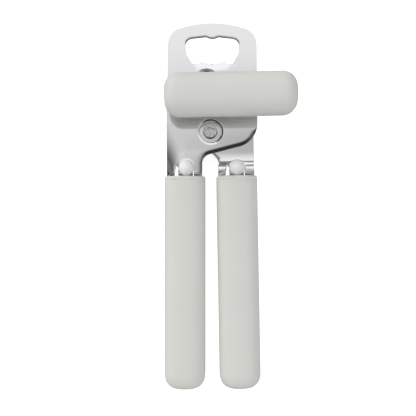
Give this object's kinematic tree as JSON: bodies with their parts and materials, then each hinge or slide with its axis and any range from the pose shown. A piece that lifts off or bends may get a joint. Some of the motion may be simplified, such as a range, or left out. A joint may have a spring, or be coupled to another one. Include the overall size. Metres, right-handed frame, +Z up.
{
  "type": "manual can opener",
  "caption": "Hand-held can opener with crossed steel levers, off-white sleeve grips, a crank knob, geared feed and cutting wheels, and a bottle-opener head.",
  "frame": {"origin": "centre of the bounding box's underside, on the surface that the opener lies on", "axes": "+Z up from the resting surface, along the pivot, crank and cutter axes towards the knob; +Y along the handles towards the bottle-opener end; +X towards the back lever's grip"},
  "size_m": [0.0739, 0.2124, 0.0559],
  "materials": {
    "lever_steel": "polished, rolled edges",
    "handle_plastic": "fine satin moulding",
    "knob_plastic": "fine satin moulding",
    "rivet_steel": "turned",
    "washer_steel": "plain",
    "bush_steel": "turned",
    "gear_steel": "sintered",
    "wheel_steel": "hardened",
    "blade_steel": "ground edge",
    "fastener_steel": "plated",
    "core_steel": "plain"
  },
  "bodies": {
    "front_lever": {"front_plate": "lever_steel", "left_grip": "handle_plastic", "pivot_rivet": "rivet_steel", "pivot_spacer_washer": "washer_steel", "pivot_back_washer": "washer_steel", "crank_bushing": "bush_steel"},
    "back_lever": {"back_plate": "lever_steel", "right_grip": "handle_plastic", "cutter_axle": "rivet_steel", "cutter_washer": "washer_steel", "cutter_screw": "fastener_steel"},
    "crank": {"crank_shaft": "rivet_steel", "crank_thrust_washer": "washer_steel", "drive_washer": "washer_steel", "drive_gear": "gear_steel", "feed_wheel": "wheel_steel", "feed_wheel_nut": "fastener_steel", "knob_core": "core_steel", "knob_cross_pin": "rivet_steel", "knob_base": "knob_plastic", "knob_shell": "knob_plastic"},
    "cutter": {"cutter_gear": "gear_steel", "cutter_collar": "wheel_steel", "cutting_wheel": "blade_steel"}
  },
  "joints": [
    {"name": "handle_pivot", "type": "hinge", "parent": "front_lever", "child": "back_lever", "pos_m": [-0.0102, 0.0436, 0.0116], "axis": [0, 0, 1], "range_deg": [0, 25]},
    {"name": "crank_turn", "type": "hinge", "parent": "front_lever", "child": "crank", "pos_m": [0.0008, 0.0615, 0.014], "axis": [0, 0, 1], "continuous": true},
    {"name": "cutter_spin", "type": "hinge", "parent": "back_lever", "child": "cutter", "pos_m": [-0.0124, 0.0744, 0.0088], "axis": [0, 0, 1], "continuous": true}
  ],
  "couplings": [
    {"joint": "cutter_spin", "follows": "crank_turn", "ratio": -1}
  ]
}
